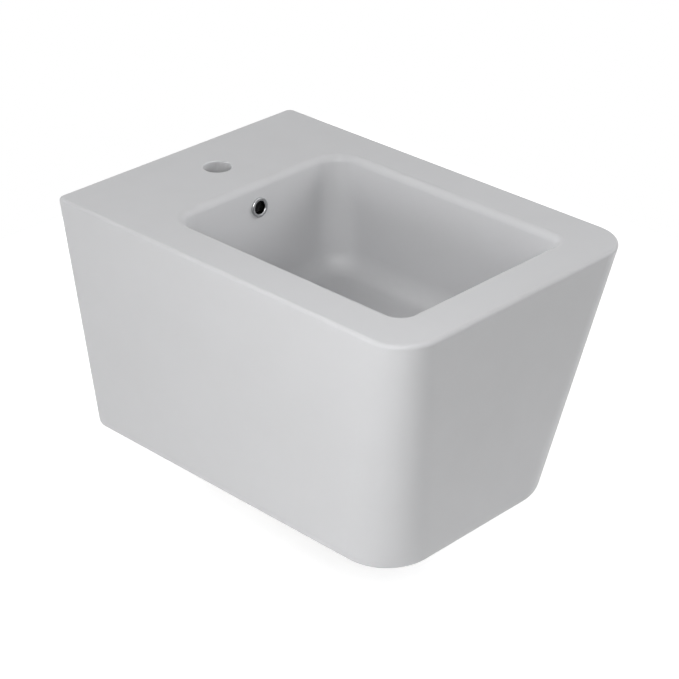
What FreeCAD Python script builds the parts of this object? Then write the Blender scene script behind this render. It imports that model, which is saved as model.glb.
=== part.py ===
import FreeCAD, Part
import math
import os
import Sketcher

# Wall-hung bidet in glazed ceramic, with its overflow ring, click waste and wall fixings.
# Frame: +Z up, +Y into the wall, the wall plane at y = 0, the origin midway between the wall studs.

Vector = FreeCAD.Vector
Rotation = FreeCAD.Rotation
Placement = FreeCAD.Placement

doc = FreeCAD.newDocument("wall_hung_bidet")
sheet = doc.addObject("Spreadsheet::Sheet", "sizes")

# Driving dimensions in millimetres. Depths are measured down from the rim, distances back from the wall.
SIZES = (
    ("rim_width", 360, "width across the rim"),
    ("rim_depth", 522, "wall to the front of the rim"),
    ("body_height", 311, "underside to rim"),
    ("foot_width", 280.5, "width across the underside"),
    ("foot_depth", 467, "wall to the front of the underside"),
    ("stud_drop", 80, "wall studs below the rim"),
    ("rim_corner", 46.5, "front corner radius at the rim"),
    ("foot_corner", 63.5, "front corner radius at the underside"),
    ("rear_round", 8.5, "edge radius round the rear face"),
    ("foot_round", 18, "edge radius round the underside"),
    ("rim_round", 4, "outer edge radius of the rim"),
    ("rear_stock", 10, "casting stock past the wall plane, cut off flat"),
    ("wall", 9, "ceramic wall thickness"),
    ("deck", 13, "thickness of the rim and the tap deck"),
    ("rear_panel", 13, "thickness of the rear panel"),
    ("foot_panel", 10, "thickness of the underside panel"),
    ("cavity_corner", 14, "rear corner radius of the hollow"),
    ("basin_half", 125.5, "half width of the basin at the rim"),
    ("basin_rear", 131, "wall to the rear of the basin at the rim"),
    ("basin_front", 467, "wall to the front of the basin at the rim"),
    ("basin_half_floor", 119, "half width of the basin at its floor"),
    ("basin_rear_floor", 142, "wall to the rear of the basin floor"),
    ("basin_front_floor", 448, "wall to the front of the basin floor"),
    ("basin_depth", 137, "depth of the basin floor along the walls"),
    ("basin_fall", 7, "fall of the floor to the waste"),
    ("basin_corner_rear", 30, "rear corner radius of the basin walls"),
    ("basin_corner_front", 16, "front corner radius of the basin walls at the rim"),
    ("basin_corner_floor", 40, "corner radius of the basin floor"),
    ("basin_cove", 28, "cove between the basin walls and floor"),
    ("basin_lip", 9, "radius from the rim into the basin"),
    ("shell_round", 24, "rounding of the basin shell underneath"),
    ("sump_half", 48, "half width of the flat round the waste"),
    ("sump_corner", 42, "corner radius of that flat"),
    ("waste_back", 300, "wall to the waste"),
    ("waste_hole", 46, "waste hole in the ceramic"),
    ("waste_seat", 46, "ceramic thickness at the waste"),
    ("waste_boss", 84, "diameter of the waste boss"),
    ("chamber_drop", 12, "overflow chamber below the waste seat"),
    ("chamber_height", 20, "height of the overflow chamber"),
    ("chamber_width", 62, "diameter of the overflow chamber"),
    ("overflow_drop", 29, "overflow hole below the rim"),
    ("overflow_hole", 19, "overflow hole in the ceramic"),
    ("duct_width", 58, "outside width of the overflow duct"),
    ("duct_back", 100, "wall to the outside of the duct"),
    ("duct_bore", 12, "clear depth of the overflow duct"),
    ("duct_bore_width", 38, "clear width of the overflow duct"),
    ("tap_back", 66.5, "wall to the tap hole"),
    ("tap_hole", 32, "tap hole diameter"),
    ("tap_edge", 1.5, "edge radius of the tap hole"),
    ("tap_pad", 72, "diameter of the pad under the tap hole"),
    ("tap_pad_depth", 6, "height of that pad below the deck"),
    ("stud_spacing", 180, "spacing of the wall studs"),
    ("stud_hole", 20, "stud hole in the ceramic"),
    ("stud_boss", 60, "diameter of the stud bosses"),
    ("stud_boss_depth", 12, "height of the stud bosses inside the panel"),
    ("window_half", 70, "half width of the pipe window in the rear panel"),
    ("window_top", 122, "top of the pipe window below the rim"),
    ("window_foot", 45, "bottom of the pipe window above the underside"),
    ("window_corner", 25, "corner radius of the pipe window"),
    ("hatch_half", 88, "half width of the hatch in the underside"),
    ("hatch_rear", 55, "wall to the rear of the hatch"),
    ("hatch_front", 345, "wall to the front of the hatch"),
    ("hatch_corner", 40, "corner radius of the hatch"),
    ("opening_round", 2.5, "edge radius of the pipe window and the hatch"),
    ("ring_outside", 23, "outside diameter of the overflow ring"),
    ("ring_bore", 15.4, "bore of the overflow ring"),
    ("ring_face", 2.4, "height of the ring above the ceramic"),
    ("ring_roll", 1.15, "rounding of the ring's face"),
    ("ring_reach", 6, "reach of the ring's spigot"),
    ("ring_spigot", 16.8, "outside diameter of the ring's spigot"),
    ("grip_length", 15, "length of the rubber sleeve behind the ring"),
    ("flange_width", 64, "diameter of the waste flange"),
    ("flange_edge", 2.5, "thickness of the waste flange"),
    ("flange_round", 1.5, "edge radius of the waste flange"),
    ("flange_seal", 2.5, "thickness of the seal under the flange"),
    ("flange_seal_inset", 2, "seal held back from the edge of the flange"),
    ("flange_seal_gap", 1, "seal held off the thread"),
    ("thread_width", 41.9, "outside diameter of the waste thread"),
    ("waste_bore", 35, "bore of the waste"),
    ("waste_length", 84, "waste below its seat"),
    ("tail_groove", 2, "width of the groove between the back nut's thread and the trap's"),
    ("tail_groove_depth", 0.8, "depth of that groove"),
    ("slot_width", 9, "width of the overflow slots in the waste"),
    ("slot_height", 16, "height of the overflow slots"),
    ("slot_corner", 3, "corner radius of the overflow slots"),
    ("slot_count", 4, "number of overflow slots"),
    ("slot_drop", 14, "top of the slots below the waste seat"),
    ("spider_drop", 34, "top of the waste spider below the seat"),
    ("spider_height", 6, "height of the waste spider"),
    ("spider_hub", 19, "diameter of the spider's hub"),
    ("spider_arm", 4, "width of each spider arm"),
    ("spider_arms", 3, "number of spider arms"),
    ("cone_seal", 8, "height of the seal under the ceramic"),
    ("cone_width", 62, "diameter of that seal"),
    ("cone_lead", 4, "width and height of that seal's cone"),
    ("slip_gap", 0.2, "radial gap of the seal and the washer on the thread"),
    ("slip_washer", 2, "thickness of the slip washer"),
    ("back_nut", 10, "height of the back nut"),
    ("back_nut_flats", 54, "across the flats of the back nut"),
    ("nut_gap", 0.05, "radial gap of a nut on its thread"),
    ("end_chamfer", 1, "chamfer at the ends of threads and collars"),
    ("housing_width", 13, "diameter of the click housing"),
    ("housing_collar", 18, "diameter of its collar"),
    ("housing_collar_height", 3, "height of its collar"),
    ("housing_bore", 9.8, "bore of the click housing"),
    ("housing_length", 44, "click housing below its seat on the spider"),
    ("housing_base", 3, "thickness of its base"),
    ("housing_nut_flats", 17, "across the flats of the housing nut"),
    ("housing_nut", 5, "height of the housing nut"),
    ("plunger_width", 9.2, "diameter of the plunger"),
    ("plunger_head", 10, "plunger above the housing when closed"),
    ("plunger_length", 36, "length of the plunger"),
    ("plunger_chamfer", 0.8, "chamfer at the plunger's head"),
    ("stem_width", 6, "diameter of the plug stem"),
    ("stem_depth", 16, "stem screwed into the plunger"),
    ("stem_nut_flats", 10, "across the flats of the stem nut"),
    ("stem_nut", 4, "height of the stem nut"),
    ("plug_width", 66, "diameter of the plug cap"),
    ("plug_crown", 4.5, "rise of the plug cap's dome"),
    ("plug_edge", 3, "height of the plug cap's rim"),
    ("plug_skin", 1.6, "thickness of the plug cap's rim"),
    ("plug_step", 0.6, "shoulder of the plug cap above its seal's seat"),
    ("stem_reach", 1.5, "stem screwed into the plug cap past the seal's seat"),
    ("plug_gap", 0.4, "closed plug above the waste flange"),
    ("plug_seal", 3, "height of the plug seal"),
    ("plug_seal_inside", 42, "inside diameter of the plug seal"),
    ("plug_seal_outside", 54, "outside diameter of the plug seal"),
    ("plug_seal_edge", 1, "straight height of the plug seal's edge"),
    ("plug_seal_lip", 2, "taper of the plug seal to its foot"),
    ("plug_boss", 12, "diameter of the boss under the plug cap"),
    ("plug_boss_height", 8, "height of that boss"),
    ("plug_lift", 10, "travel of the plug"),
    ("spring_wire", 0.8, "diameter of the spring wire"),
    ("spring_width", 7.6, "outside diameter of the spring"),
    ("spring_turns", 6, "turns of the spring"),
    ("spring_gap", 0.5, "gap between the close turns at the spring's ends"),
    ("stud_width", 12, "diameter of the wall studs' shanks"),
    ("stud_thread", 11.6, "diameter of the wall studs' threads"),
    ("stud_out", 55, "wall studs beyond the wall plane"),
    ("stud_in", 54, "wall studs inside the body"),
    ("sleeve_width", 19.4, "outside diameter of the stud sleeves"),
    ("sleeve_bore", 12.4, "bore of the stud sleeves"),
    ("sleeve_collar", 32, "diameter of the sleeve collars"),
    ("sleeve_collar_height", 4, "height of the sleeve collars"),
    ("sleeve_short", 1, "sleeves held back from the wall plane"),
    ("stud_washer", 2.5, "thickness of the stud washers"),
    ("stud_washer_width", 30, "diameter of the stud washers"),
    ("stud_nut_flats", 19, "across the flats of the stud nuts"),
    ("stud_nut", 10, "height of the stud nuts"),
)
for row, (alias, number, note) in enumerate(SIZES, start=1):
    sheet.set(f"A{row}", note)
    sheet.set(f"B{row}", str(number))
    sheet.setAlias(f"B{row}", alias)
doc.recompute()

# Levels and other sizes worked out from the driving ones.
RIM = "sizes.stud_drop"
FOOT = "(sizes.stud_drop - sizes.body_height)"
SEAT = "(sizes.stud_drop - sizes.basin_depth - sizes.basin_fall)"
TOUCH = 0.01


def value(expression):
    number = sheet.evalExpression(expression)
    return float(getattr(number, "Value", number))


# Sketches and features


def new_body(label):
    body = doc.addObject("PartDesign::Body", label)
    body.Label = label
    return body


def new_sketch(body, name, plane, level="0"):
    sketch = body.newObject("Sketcher::SketchObject", name)
    origin_plane = [item for item in body.Origin.OriginFeatures if item.Role == plane][0]
    sketch.AttachmentSupport = (origin_plane, [""])
    sketch.MapMode = "FlatFace"
    sketch.AttachmentOffset = Placement(Vector(0, 0, value(level)), Rotation())
    sketch.setExpression("AttachmentOffset.Base.z", level)
    return sketch


def measure(sketch, kind, geo, end, expression):
    """Set one coordinate of a sketch point, measured from the sketch origin."""
    number = value(expression)
    if abs(number) < 1e-9:
        axis = -2 if kind == "DistanceX" else -1
        sketch.addConstraint(Sketcher.Constraint("PointOnObject", geo, end, axis))
    elif number > 0:
        index = sketch.addConstraint(Sketcher.Constraint(kind, -1, 1, geo, end, number))
        sketch.setExpression(f"Constraints[{index}]", expression)
    else:
        index = sketch.addConstraint(Sketcher.Constraint(kind, geo, end, -1, 1, -number))
        sketch.setExpression(f"Constraints[{index}]", f"-({expression})")


def add_polygon(sketch, corners, arcs=()):
    """Closed outline through corners given as pairs of expressions.

    Lines join the corners in turn. arcs maps a corner's number to the radius of an arc that
    replaces the line leaving it and bulges to the left of that line's way."""
    arcs = dict(arcs)
    points = [Vector(value(x), value(y), 0) for x, y in corners]
    first = sketch.GeometryCount
    count = len(points)
    leaves = {}
    arrives = {}
    for i in range(count):
        here = points[i]
        there = points[(i + 1) % count]
        leaves[i] = 1
        arrives[i] = 2
        if i in arcs:
            chord = there - here
            radius = value(arcs[i])
            rise = radius - math.sqrt(radius**2 - chord.Length**2 / 4)
            bulge = (here + there) / 2 + Vector(-chord.y, chord.x, 0).normalize() * rise
            sketch.addGeometry(Part.Arc(here, bulge, there))
            leaves[i] = 2
            arrives[i] = 1
        else:
            sketch.addGeometry(Part.LineSegment(here, there))
    for i in range(count):
        after = (i + 1) % count
        joined = (first + i, arrives[i], first + after, leaves[after])
        sketch.addConstraint(Sketcher.Constraint("Coincident", *joined))
    for i, (x, y) in enumerate(corners):
        measure(sketch, "DistanceX", first + i, leaves[i], x)
        measure(sketch, "DistanceY", first + i, leaves[i], y)
    for i, radius in arcs.items():
        bound = sketch.addConstraint(Sketcher.Constraint("Radius", first + i, value(radius)))
        sketch.setExpression(f"Constraints[{bound}]", radius)


def add_circle(sketch, radius, x="0", y="0"):
    centre = Vector(value(x), value(y), 0)
    index = sketch.addGeometry(Part.Circle(centre, Vector(0, 0, 1), value(radius)))
    measure(sketch, "DistanceX", index, 3, x)
    measure(sketch, "DistanceY", index, 3, y)
    bound = sketch.addConstraint(Sketcher.Constraint("Radius", index, value(radius)))
    sketch.setExpression(f"Constraints[{bound}]", radius)


def add_hexagon(sketch, flats):
    """Hexagon about the origin with two corners on the sketch's X axis."""
    reach = f"({flats}) / sqrt(3)"
    half = f"({flats}) / sqrt(3) / 2"
    side = f"({flats}) / 2"
    add_polygon(
        sketch,
        (
            (reach, "0"),
            (half, side),
            (f"-{half}", side),
            (f"-{reach}", "0"),
            (f"-{half}", f"-{side}"),
            (half, f"-{side}"),
        ),
    )


def add_round_rectangle(sketch, half, low, high, low_corner, high_corner=None):
    """Rectangle symmetric about the sketch's Y axis, with arcs at its low and, if given, high corners."""
    w = value(half)
    y0 = value(low)
    y1 = value(high)
    r0 = value(low_corner)
    r1 = value(high_corner) if high_corner else 0.0
    bottom = sketch.addGeometry(Part.LineSegment(Vector(-w + r0, y0, 0), Vector(w - r0, y0, 0)))
    right = sketch.addGeometry(Part.LineSegment(Vector(w, y0 + r0, 0), Vector(w, y1 - r1, 0)))
    top = sketch.addGeometry(Part.LineSegment(Vector(w - r1, y1, 0), Vector(-w + r1, y1, 0)))
    left = sketch.addGeometry(Part.LineSegment(Vector(-w, y1 - r1, 0), Vector(-w, y0 + r0, 0)))
    for line, kind in ((bottom, "Horizontal"), (top, "Horizontal"), (left, "Vertical"), (right, "Vertical")):
        sketch.addConstraint(Sketcher.Constraint(kind, line))

    def corner(x, y, radius, quarter, before, after):
        circle = Part.Circle(Vector(x, y, 0), Vector(0, 0, 1), radius)
        arc = sketch.addGeometry(Part.ArcOfCircle(circle, quarter * math.pi / 2, (quarter + 1) * math.pi / 2))
        sketch.addConstraint(Sketcher.Constraint("Tangent", before, 2, arc, 1))
        sketch.addConstraint(Sketcher.Constraint("Tangent", arc, 2, after, 1))
        return arc

    def corner_pair(first, second, radius):
        index = sketch.addConstraint(Sketcher.Constraint("Radius", first, value(radius)))
        sketch.setExpression(f"Constraints[{index}]", radius)
        sketch.addConstraint(Sketcher.Constraint("Equal", first, second))

    low_right = corner(w - r0, y0 + r0, r0, 3, bottom, right)
    low_left = corner(-w + r0, y0 + r0, r0, 2, left, bottom)
    corner_pair(low_right, low_left, low_corner)
    if high_corner:
        high_right = corner(w - r1, y1 - r1, r1, 0, right, top)
        high_left = corner(-w + r1, y1 - r1, r1, 1, top, left)
        corner_pair(high_right, high_left, high_corner)
    else:
        sketch.addConstraint(Sketcher.Constraint("Coincident", right, 2, top, 1))
        sketch.addConstraint(Sketcher.Constraint("Coincident", top, 2, left, 1))
    measure(sketch, "DistanceX", right, 1, half)
    measure(sketch, "DistanceX", left, 1, f"-({half})")
    measure(sketch, "DistanceY", bottom, 1, low)
    measure(sketch, "DistanceY", top, 1, high)


def loft(body, kind, name, sketches):
    feature = body.newObject(f"PartDesign::{kind}Loft", name)
    feature.Profile = sketches[0]
    feature.Sections = sketches[1:]
    feature.Ruled = True
    doc.recompute()
    return feature


def extrude(body, kind, name, sketch, length, symmetric=False, reversed_way=False):
    """Pad or Pocket of a sketch. A symmetric one reaches half the length each way."""
    feature = body.newObject(f"PartDesign::{kind}", name)
    feature.Profile = sketch
    feature.setExpression("Length", length)
    if symmetric:
        feature.SideType = "Symmetric"
    feature.Reversed = reversed_way
    doc.recompute()
    return feature


def turn(body, name, corners, arcs=()):
    """Solid of revolution about the body's Z axis, from corners given as radius and height."""
    sketch = new_sketch(body, f"{name}_profile", "XZ_Plane")
    add_polygon(sketch, corners, arcs)
    feature = body.newObject("PartDesign::Revolution", name)
    feature.Profile = sketch
    feature.ReferenceAxis = (sketch, ["V_Axis"])
    feature.Angle = 360
    doc.recompute()
    return feature


def near(a, b):
    return abs(a - b) < TOUCH


def round_edges(body, name, base, radius, wanted, kind="Fillet"):
    """Fillet or chamfer the edges of a feature that a test picks by five points along each."""
    names = []
    for i, edge in enumerate(base.Shape.Edges, start=1):
        if wanted(edge.discretize(5)):
            names.append(f"Edge{i}")
    feature = body.newObject(f"PartDesign::{kind}", name)
    feature.Base = (base, names)
    feature.setExpression("Radius" if kind == "Fillet" else "Size", radius)
    doc.recompute()
    return feature


def place(body, x="0", y="0", z="0", axis=None, angle="0"):
    spin = Rotation(axis, value(angle)) if axis else Rotation()
    body.Placement = Placement(Vector(value(x), value(y), value(z)), spin)
    body.setExpression("Placement.Base.x", x)
    body.setExpression("Placement.Base.y", y)
    body.setExpression("Placement.Base.z", z)
    if axis:
        body.setExpression("Placement.Rotation.Angle", angle)


# Ceramic body: a hollow casting, open behind and below, with the basin hung inside it

ceramic = new_body("ceramic_body")


def skin_half(depth):
    """Half width of the outer skin at a depth below the rim."""
    return f"(sizes.rim_width - (sizes.rim_width - sizes.foot_width) * ({depth}) / sizes.body_height) / 2"


def skin_front(depth):
    """Distance from the wall to the outer skin of the front at a depth below the rim."""
    return f"(sizes.rim_depth - (sizes.rim_depth - sizes.foot_depth) * ({depth}) / sizes.body_height)"


rim_outline = new_sketch(ceramic, "rim_outline", "XY_Plane", RIM)
add_round_rectangle(
    rim_outline, "sizes.rim_width / 2", "-sizes.rim_depth", "sizes.rear_stock", "sizes.rim_corner"
)
foot_outline = new_sketch(ceramic, "foot_outline", "XY_Plane", FOOT)
add_round_rectangle(
    foot_outline, "sizes.foot_width / 2", "-sizes.foot_depth", "sizes.rear_stock", "sizes.foot_corner"
)
loft(ceramic, "Additive", "skin", [rim_outline, foot_outline])

# The rear face is cut flat on the wall plane, clear of the skin all round
rear_cut = new_sketch(ceramic, "rear_cut", "XZ_Plane")
add_polygon(
    rear_cut,
    (
        ("-sizes.rim_width", f"{FOOT} - sizes.rear_stock"),
        ("sizes.rim_width", f"{FOOT} - sizes.rear_stock"),
        ("sizes.rim_width", f"{RIM} + sizes.rear_stock"),
        ("-sizes.rim_width", f"{RIM} + sizes.rear_stock"),
    ),
)
skin = extrude(ceramic, "Pocket", "rear_face", rear_cut, "2 * sizes.rear_stock")

rim_z = value(RIM)
foot_z = value(FOOT)


def level_with(points, z):
    return all(near(p.z, z) for p in points)


def on_rear_face(points):
    return all(near(p.y, 0) for p in points)


skin = round_edges(
    ceramic,
    "foot_rounding",
    skin,
    "sizes.foot_round",
    lambda points: level_with(points, foot_z) and not on_rear_face(points),
)
skin = round_edges(
    ceramic,
    "rear_rounding",
    skin,
    "sizes.rear_round",
    lambda points: on_rear_face(points) and not level_with(points, rim_z),
)
skin = round_edges(ceramic, "rim_rounding", skin, "sizes.rim_round", lambda points: level_with(points, rim_z))

# The hollow between the outer skin and the basin
cavity_top = new_sketch(ceramic, "cavity_top", "XY_Plane", f"{RIM} - sizes.deck")
add_round_rectangle(
    cavity_top,
    f"{skin_half('sizes.deck')} - sizes.wall",
    f"-({skin_front('sizes.deck')} - sizes.wall)",
    "-sizes.rear_panel",
    "sizes.rim_corner - sizes.wall",
    "sizes.cavity_corner",
)
cavity_foot = new_sketch(ceramic, "cavity_foot", "XY_Plane", f"{FOOT} + sizes.foot_panel")
foot_panel_depth = "(sizes.body_height - sizes.foot_panel)"
add_round_rectangle(
    cavity_foot,
    f"{skin_half(foot_panel_depth)} - sizes.wall",
    f"-({skin_front(foot_panel_depth)} - sizes.wall)",
    "-sizes.rear_panel",
    "sizes.foot_corner - sizes.wall",
    "sizes.cavity_corner",
)
cavity = loft(ceramic, "Subtractive", "cavity", [cavity_top, cavity_foot])
cavity_z = value(f"{FOOT} + sizes.foot_panel")
round_edges(
    ceramic,
    "cavity_rounding",
    cavity,
    "sizes.foot_round - sizes.wall",
    lambda points: level_with(points, cavity_z),
)

# The basin's shell, added back into the hollow
shell_depth = "(sizes.basin_depth + sizes.wall)"
shell_top = new_sketch(ceramic, "shell_top", "XY_Plane", f"{RIM} - sizes.deck / 2")
add_round_rectangle(
    shell_top,
    "sizes.basin_half + sizes.wall",
    "-(sizes.basin_front + sizes.wall)",
    "-(sizes.basin_rear - sizes.wall)",
    "sizes.basin_corner_front + sizes.wall",
    "sizes.basin_corner_rear + sizes.wall",
)
shell_floor = new_sketch(ceramic, "shell_floor", "XY_Plane", f"{RIM} - {shell_depth}")
add_round_rectangle(
    shell_floor,
    "sizes.basin_half_floor + sizes.wall",
    "-(sizes.basin_front_floor + sizes.wall)",
    "-(sizes.basin_rear_floor - sizes.wall)",
    "sizes.basin_corner_floor + sizes.wall",
    "sizes.basin_corner_floor + sizes.wall",
)
shell = loft(ceramic, "Additive", "basin_shell", [shell_top, shell_floor])
shell_z = value(f"{RIM} - {shell_depth}")
round_edges(ceramic, "shell_rounding", shell, "sizes.shell_round", lambda points: level_with(points, shell_z))

# The boss that the waste clamps, and the overflow duct from the rear wall of the basin down to it
boss = new_sketch(ceramic, "waste_boss", "XY_Plane", f"{SEAT} - sizes.waste_seat")
add_circle(boss, "sizes.waste_boss / 2", "0", "-sizes.waste_back")
extrude(ceramic, "Pad", "waste_boss_pad", boss, "sizes.waste_seat")

chamber_top = f"({SEAT} - sizes.chamber_drop)"
chamber_foot = f"({SEAT} - sizes.chamber_drop - sizes.chamber_height)"
duct_inner = "(sizes.duct_back + sizes.wall + sizes.duct_bore)"
duct = new_sketch(ceramic, "duct", "YZ_Plane")
add_polygon(
    duct,
    (
        ("-sizes.duct_back", f"{RIM} - sizes.deck / 2"),
        ("-sizes.duct_back", f"{chamber_foot} - sizes.wall / 2"),
        ("-sizes.waste_back", f"{chamber_foot} - sizes.wall / 2"),
        ("-sizes.waste_back", f"{chamber_top} + sizes.wall / 2"),
        (f"-({duct_inner} + sizes.wall)", f"{chamber_top} + sizes.wall / 2"),
        (f"-({duct_inner} + sizes.wall)", f"{RIM} - sizes.deck / 2"),
    ),
)
extrude(ceramic, "Pad", "duct_pad", duct, "sizes.duct_width", symmetric=True)

# Bosses behind the stud holes and the pad under the tap hole
stud_bosses = new_sketch(ceramic, "stud_bosses", "XZ_Plane", "sizes.rear_panel / 2")
for side in ("", "-"):
    add_circle(stud_bosses, "sizes.stud_boss / 2", f"{side}sizes.stud_spacing / 2")
extrude(ceramic, "Pad", "stud_boss_pads", stud_bosses, "sizes.rear_panel / 2 + sizes.stud_boss_depth")
tap_pad = new_sketch(ceramic, "tap_pad", "XY_Plane", f"{RIM} - sizes.deck - sizes.tap_pad_depth")
add_circle(tap_pad, "sizes.tap_pad / 2", "0", "-sizes.tap_back")
extrude(ceramic, "Pad", "tap_pad_solid", tap_pad, "sizes.deck / 2 + sizes.tap_pad_depth")

# The basin: drafted walls, a floor that falls to the waste, a cove round the floor and a soft lip
basin_rim = new_sketch(ceramic, "basin_rim", "XY_Plane", RIM)
add_round_rectangle(
    basin_rim,
    "sizes.basin_half",
    "-sizes.basin_front",
    "-sizes.basin_rear",
    "sizes.basin_corner_front",
    "sizes.basin_corner_rear",
)
basin_floor = new_sketch(ceramic, "basin_floor", "XY_Plane", f"{RIM} - sizes.basin_depth")
add_round_rectangle(
    basin_floor,
    "sizes.basin_half_floor",
    "-sizes.basin_front_floor",
    "-sizes.basin_rear_floor",
    "sizes.basin_corner_floor",
    "sizes.basin_corner_floor",
)
basin_sump = new_sketch(ceramic, "basin_sump", "XY_Plane", SEAT)
add_round_rectangle(
    basin_sump,
    "sizes.sump_half",
    "-(sizes.waste_back + sizes.sump_half)",
    "-(sizes.waste_back - sizes.sump_half)",
    "sizes.sump_corner",
    "sizes.sump_corner",
)
basin = loft(ceramic, "Subtractive", "basin", [basin_rim, basin_floor, basin_sump])
floor_z = value(f"{RIM} - sizes.basin_depth")
basin = round_edges(
    ceramic,
    "basin_coving",
    basin,
    "sizes.basin_cove",
    lambda points: level_with(points, floor_z),
)
inside_rim = value("sizes.basin_half + sizes.wall / 2")
basin = round_edges(
    ceramic,
    "basin_lip_rounding",
    basin,
    "sizes.basin_lip",
    lambda points: level_with(points, rim_z) and all(abs(p.x) < inside_rim for p in points),
)

# The overflow's way: a hole square to the rear wall, the duct, and a chamber round the waste
channel = new_sketch(ceramic, "channel", "YZ_Plane")
add_polygon(
    channel,
    (
        ("-(sizes.duct_back + sizes.wall)", f"{RIM} - sizes.deck"),
        ("-(sizes.duct_back + sizes.wall)", chamber_foot),
        ("-sizes.waste_back", chamber_foot),
        ("-sizes.waste_back", f"{chamber_foot} + sizes.duct_bore"),
        (f"-{duct_inner}", f"{chamber_foot} + sizes.duct_bore"),
        (f"-{duct_inner}", f"{RIM} - sizes.deck"),
    ),
)
extrude(ceramic, "Pocket", "channel_cut", channel, "sizes.duct_bore_width", symmetric=True)
chamber = new_sketch(ceramic, "chamber", "XY_Plane", chamber_top)
add_circle(chamber, "sizes.chamber_width / 2", "0", "-sizes.waste_back")
extrude(ceramic, "Pocket", "chamber_cut", chamber, "sizes.chamber_height")
waste_hole = new_sketch(ceramic, "waste_hole", "XY_Plane", SEAT)
add_circle(waste_hole, "sizes.waste_hole / 2", "0", "-sizes.waste_back")
extrude(ceramic, "Pocket", "waste_hole_cut", waste_hole, "sizes.waste_seat")

draft = "atan((sizes.basin_rear_floor - sizes.basin_rear) / sizes.basin_depth)"
overflow_z = f"({RIM} - sizes.overflow_drop)"
overflow_y = f"-(sizes.basin_rear + tan({draft}) * sizes.overflow_drop)"
overflow = new_sketch(ceramic, "overflow", "XZ_Plane", f"-({overflow_y})")
overflow.AttachmentOffset = Placement(
    Vector(0, value(overflow_z), -value(overflow_y)), Rotation(Vector(1, 0, 0), -value(draft))
)
overflow.setExpression("AttachmentOffset.Base.y", overflow_z)
overflow.setExpression("AttachmentOffset.Rotation.Angle", f"-{draft}")
add_circle(overflow, "sizes.overflow_hole / 2")
extrude(ceramic, "Pocket", "overflow_cut", overflow, "sizes.wall + sizes.duct_bore")

# Tap hole, stud holes, the pipe window in the rear panel and the hatch in the underside
tap_hole = new_sketch(ceramic, "tap_hole", "XY_Plane", RIM)
add_circle(tap_hole, "sizes.tap_hole / 2", "0", "-sizes.tap_back")
tap_cut = extrude(ceramic, "Pocket", "tap_cut", tap_hole, "sizes.deck + sizes.tap_pad_depth")
tap_half = value("sizes.tap_hole / 2")
tap_y = -value("sizes.tap_back")
round_edges(
    ceramic,
    "tap_rounding",
    tap_cut,
    "sizes.tap_edge",
    lambda points: level_with(points, rim_z)
    and all(near(math.hypot(p.x, p.y - tap_y), tap_half) for p in points),
)
stud_holes = new_sketch(ceramic, "stud_holes", "XZ_Plane")
for side in ("", "-"):
    add_circle(stud_holes, "sizes.stud_hole / 2", f"{side}sizes.stud_spacing / 2")
panel_cut = "2 * (sizes.rear_panel + sizes.stud_boss_depth)"
extrude(ceramic, "Pocket", "stud_cut", stud_holes, panel_cut, symmetric=True)
window = new_sketch(ceramic, "window", "XZ_Plane")
add_round_rectangle(
    window,
    "sizes.window_half",
    f"{FOOT} + sizes.window_foot",
    f"{RIM} - sizes.window_top",
    "sizes.window_corner",
    "sizes.window_corner",
)
extrude(ceramic, "Pocket", "window_cut", window, panel_cut, symmetric=True)
hatch = new_sketch(ceramic, "hatch", "XY_Plane", FOOT)
add_round_rectangle(
    hatch,
    "sizes.hatch_half",
    "-sizes.hatch_front",
    "-sizes.hatch_rear",
    "sizes.hatch_corner",
    "sizes.hatch_corner",
)
openings = extrude(ceramic, "Pocket", "hatch_cut", hatch, "2 * sizes.foot_panel", symmetric=True)
hatch_half = value("sizes.hatch_half")
window_half = value("sizes.window_half")
window_span = (value(f"{FOOT} + sizes.window_foot"), value(f"{RIM} - sizes.window_top"))


def round_an_opening(points):
    """Edges of the hatch on the underside and of the pipe window on the rear face."""
    inside_hatch = all(abs(p.x) < hatch_half + TOUCH for p in points)
    inside_window = all(abs(p.x) < window_half + TOUCH for p in points)
    low, high = window_span
    in_window = all(low - TOUCH < p.z < high + TOUCH for p in points)
    hatch_edge = level_with(points, foot_z) and inside_hatch
    return hatch_edge or (on_rear_face(points) and inside_window and in_window)


round_edges(ceramic, "opening_rounding", openings, "sizes.opening_round", round_an_opening)

# Overflow ring, chromed, and the rubber sleeve that grips it in the ceramic

lean = f"90 deg - {draft}"
ring = new_body("overflow_ring")
ring_turn = turn(
    ring,
    "ring",
    (
        ("sizes.ring_bore / 2", "sizes.ring_face"),
        ("sizes.ring_outside / 2", "sizes.ring_face"),
        ("sizes.ring_outside / 2", "0"),
        ("sizes.ring_spigot / 2", "0"),
        ("sizes.ring_spigot / 2", "-sizes.ring_reach"),
        ("sizes.ring_bore / 2", "-sizes.ring_reach"),
    ),
)
ring_face = value("sizes.ring_face")
round_edges(ring, "ring_rounding", ring_turn, "sizes.ring_roll", lambda points: level_with(points, ring_face))
place(ring, "0", overflow_y, overflow_z, Vector(1, 0, 0), lean)

grip = new_body("overflow_sleeve")
turn(
    grip,
    "grip",
    (
        ("sizes.ring_spigot / 2", "0"),
        ("sizes.overflow_hole / 2", "0"),
        ("sizes.overflow_hole / 2", "-sizes.grip_length"),
        ("sizes.ring_bore / 2", "-sizes.grip_length"),
        ("sizes.ring_bore / 2", "-sizes.ring_reach"),
        ("sizes.ring_spigot / 2", "-sizes.ring_reach"),
    ),
)
place(grip, "0", overflow_y, overflow_z, Vector(1, 0, 0), lean)

# Waste: heights from the ceramic seat, all on one axis


def on_waste_axis(body):
    place(body, "0", "-sizes.waste_back", SEAT)


# A nut's end face as a part of its flats, the slope of its turned corners, and the cutter's reach past them
NUT_FACE = 0.96
NUT_SLOPE = 0.5
CUTTER_REACH = 1


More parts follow.
